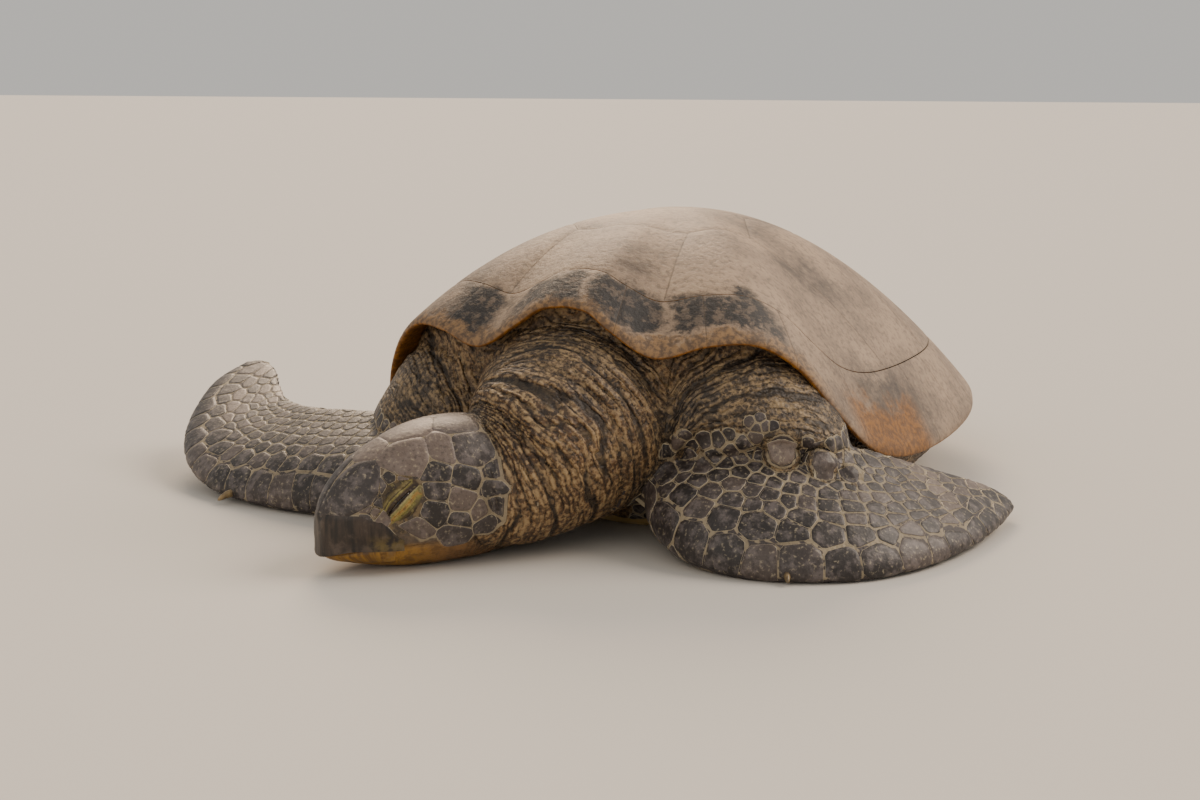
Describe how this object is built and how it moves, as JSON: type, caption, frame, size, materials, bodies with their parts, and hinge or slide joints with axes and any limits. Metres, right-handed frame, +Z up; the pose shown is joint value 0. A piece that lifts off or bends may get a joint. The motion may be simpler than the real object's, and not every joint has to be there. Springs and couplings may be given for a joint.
{
  "type": "sea turtle model",
  "caption": "Life-size still model of a resting green sea turtle with closed eyes, head turned to its right and flippers spread on the floor.",
  "frame": {"origin": "on the floor, under the middle of the whole model's bounding box", "axes": "+Z up; the trunk faces -Y and the turtle's left side is +X"},
  "size_m": [1.101, 1.284, 0.3499],
  "materials": {
    "shell_horn": "dusty brown-grey horn plates",
    "belly_horn": "pale yellow horn",
    "beak_and_claw_horn": "dark streaked horn",
    "scaled_skin": "dark polygonal scales with pale borders",
    "eye_lid_skin": "yellow-olive wrinkled lids",
    "folded_skin": "brown, finely creased hide"
  },
  "bodies": {
    "root": {"nuchal_scute": "shell_horn", "vertebral_scute_1": "shell_horn", "vertebral_scute_2": "shell_horn", "vertebral_scute_3": "shell_horn", "vertebral_scute_4": "shell_horn", "vertebral_scute_5": "shell_horn", "costal_scute_left_1": "shell_horn", "costal_scute_left_2": "shell_horn", "costal_scute_left_3": "shell_horn", "costal_scute_left_4": "shell_horn", "marginal_scute_left_1": "shell_horn", "marginal_scute_left_2": "shell_horn", "marginal_scute_left_3": "shell_horn", "marginal_scute_left_4": "shell_horn", "marginal_scute_left_5": "shell_horn", "marginal_scute_left_6": "shell_horn", "marginal_scute_left_7": "shell_horn", "marginal_scute_left_8": "shell_horn", "marginal_scute_left_9": "shell_horn", "marginal_scute_left_10": "shell_horn", "marginal_scute_left_11": "shell_horn", "marginal_scute_left_12": "shell_horn", "costal_scute_right_1": "shell_horn", "costal_scute_right_2": "shell_horn", "costal_scute_right_3": "shell_horn", "costal_scute_right_4": "shell_horn", "marginal_scute_right_1": "shell_horn", "marginal_scute_right_2": "shell_horn", "marginal_scute_right_3": "shell_horn", "marginal_scute_right_4": "shell_horn", "marginal_scute_right_5": "shell_horn", "marginal_scute_right_6": "shell_horn", "marginal_scute_right_7": "shell_horn", "marginal_scute_right_8": "shell_horn", "marginal_scute_right_9": "shell_horn", "marginal_scute_right_10": "shell_horn", "marginal_scute_right_11": "shell_horn", "marginal_scute_right_12": "shell_horn", "trunk": "folded_skin", "plastron": "belly_horn", "neck": "folded_skin", "head": "scaled_skin", "beak_upper": "beak_and_claw_horn", "lower_jaw": "beak_and_claw_horn", "eye_left": "eye_lid_skin", "eye_right": "eye_lid_skin", "front_flipper_left_upper_arm": "folded_skin", "front_flipper_left_blade": "scaled_skin", "claw_left": "beak_and_claw_horn", "rear_flipper_left_thigh": "folded_skin", "rear_flipper_left_foot": "scaled_skin", "front_flipper_right_upper_arm": "folded_skin", "front_flipper_right_blade": "scaled_skin", "claw_right": "beak_and_claw_horn", "rear_flipper_right_thigh": "folded_skin", "rear_flipper_right_foot": "scaled_skin", "tail": "folded_skin"}
  },
  "joints": []
}
